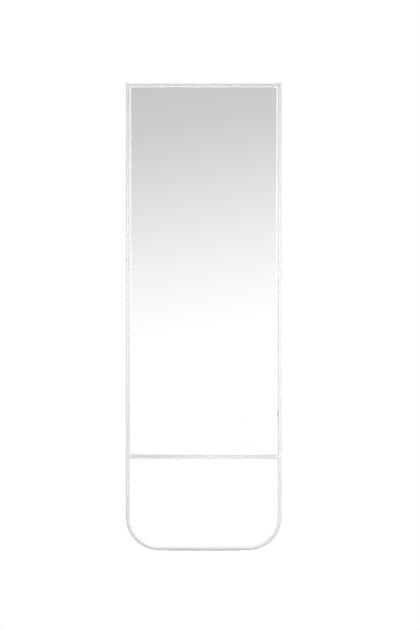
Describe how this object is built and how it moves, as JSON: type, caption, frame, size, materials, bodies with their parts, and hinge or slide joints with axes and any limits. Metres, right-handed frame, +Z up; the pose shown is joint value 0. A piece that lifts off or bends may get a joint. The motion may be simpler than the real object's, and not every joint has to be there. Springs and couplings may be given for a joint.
{
  "type": "cheval floor mirror",
  "caption": "Slim full-length floor mirror: a tilting panel hung in a bent white tube loop, with a matching rear loop hinged at the top as a folding A-frame.",
  "frame": {"origin": "on the floor, midway between the two loops and on the left-right centre line", "axes": "+X to the viewer's right, +Y to the back (the glass faces -Y), +Z up"},
  "size_m": [0.548, 0.4268, 1.65],
  "materials": {
    "white_lacquer": "satin white powder coat with a fine orange peel",
    "plain_steel": "satin",
    "zinc_steel": "satin",
    "silvered_glass": "polished",
    "glazing_foam": "matte",
    "safety_film": "matte",
    "pale_foam": "matte",
    "hardboard": "matte",
    "acetal": "satin",
    "glide_plastic": "matte",
    "grey_rubber": "matte"
  },
  "bodies": {
    "front_stand": {"front_loop": "white_lacquer", "top_rail": "white_lacquer", "bottom_rail": "white_lacquer", "left_fork_plug": "white_lacquer", "right_fork_plug": "white_lacquer", "left_hinge_pin": "plain_steel", "right_hinge_pin": "plain_steel", "left_pivot_stud": "plain_steel", "right_pivot_stud": "plain_steel", "left_stop_bracket": "white_lacquer", "right_stop_bracket": "white_lacquer", "keeper_pad": "grey_rubber", "front_floor_strip": "glide_plastic"},
    "rear_leg": {"rear_loop": "white_lacquer", "left_tongue_plug": "white_lacquer", "right_tongue_plug": "white_lacquer", "rear_floor_strip": "glide_plastic"},
    "mirror_panel": {"panel_frame": "white_lacquer", "glazing_tape": "glazing_foam", "mirror_glass": "silvered_glass", "safety_film": "safety_film", "foam_pads": "pale_foam", "backing_board": "hardboard", "board_clips": "zinc_steel", "clip_screws": "zinc_steel", "left_pivot_saddle": "acetal", "right_pivot_saddle": "acetal", "left_bearing_cap": "acetal", "right_bearing_cap": "acetal", "cap_screws": "zinc_steel", "saddle_screws": "zinc_steel", "left_stop_pin": "plain_steel", "right_stop_pin": "plain_steel", "left_pivot_washer": "acetal", "right_pivot_washer": "acetal"}
  },
  "joints": [
    {"name": "rear_leg_fold", "type": "hinge", "parent": "front_stand", "child": "rear_leg", "pos_m": [0, 0, 1.64365], "axis": [1, 0, 0], "range_deg": [-14, 0]},
    {"name": "mirror_tilt", "type": "hinge", "parent": "front_stand", "child": "mirror_panel", "pos_m": [0, -0.08708, 0.98776], "axis": [1, 0, 0], "range_deg": [-12, 12]}
  ]
}
